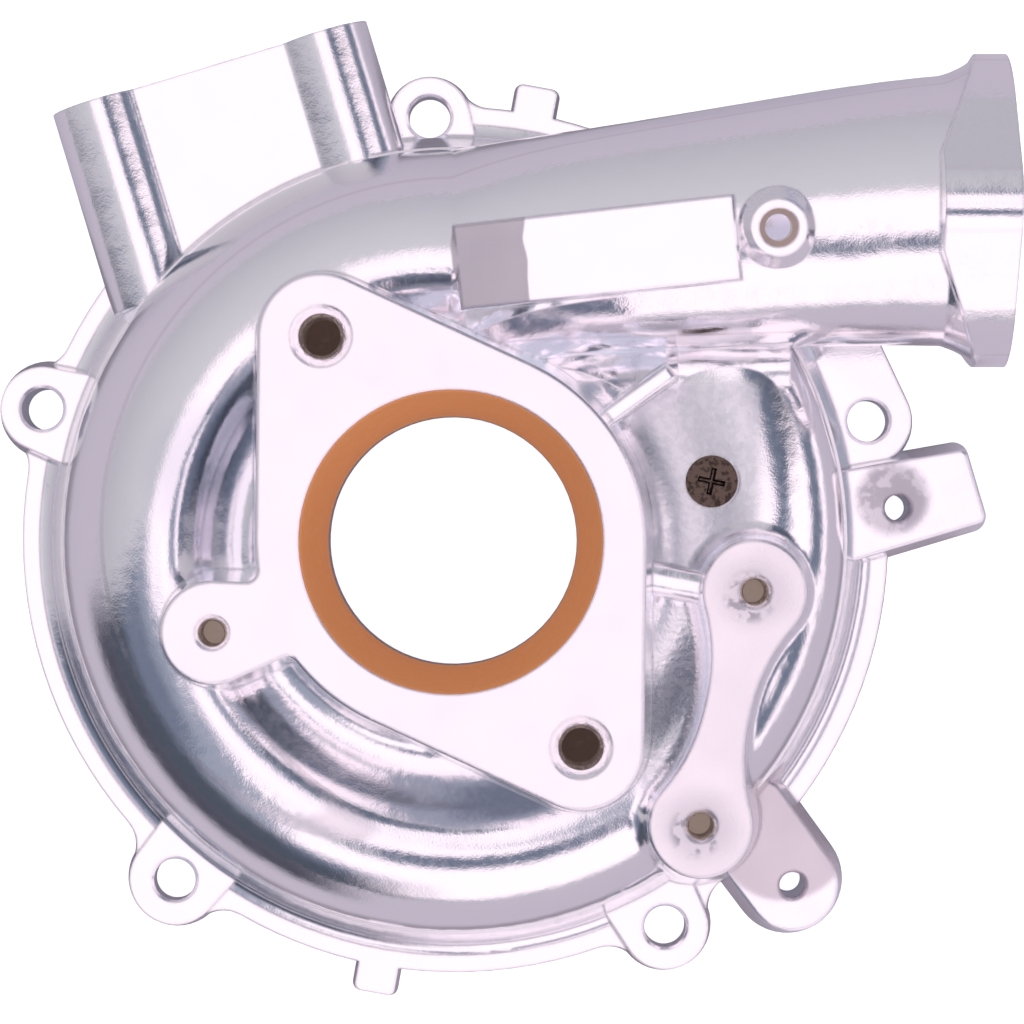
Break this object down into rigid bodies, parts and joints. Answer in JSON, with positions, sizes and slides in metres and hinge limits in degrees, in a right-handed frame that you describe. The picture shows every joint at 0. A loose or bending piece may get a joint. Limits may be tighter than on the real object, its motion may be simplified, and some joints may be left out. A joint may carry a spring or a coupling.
{
  "type": "turbo compressor housing",
  "caption": "Cast aluminium turbo compressor housing: a scroll that grows round the inlet bore into a tangential outlet pipe with a bolted flange, on an eared rim.",
  "frame": {"origin": "on the inlet axis, in the plane of the rim's back face", "axes": "+Z out of the inlet along its axis, +X towards the outlet flange, +Y to the side that carries the outlet pipe"},
  "size_m": [0.1638, 0.1603, 0.0617],
  "materials": {
    "casting": "bright polished casting",
    "screw": "brown passivated"
  },
  "bodies": {
    "root": {"housing": "casting", "plug_screw": "screw"}
  },
  "joints": []
}
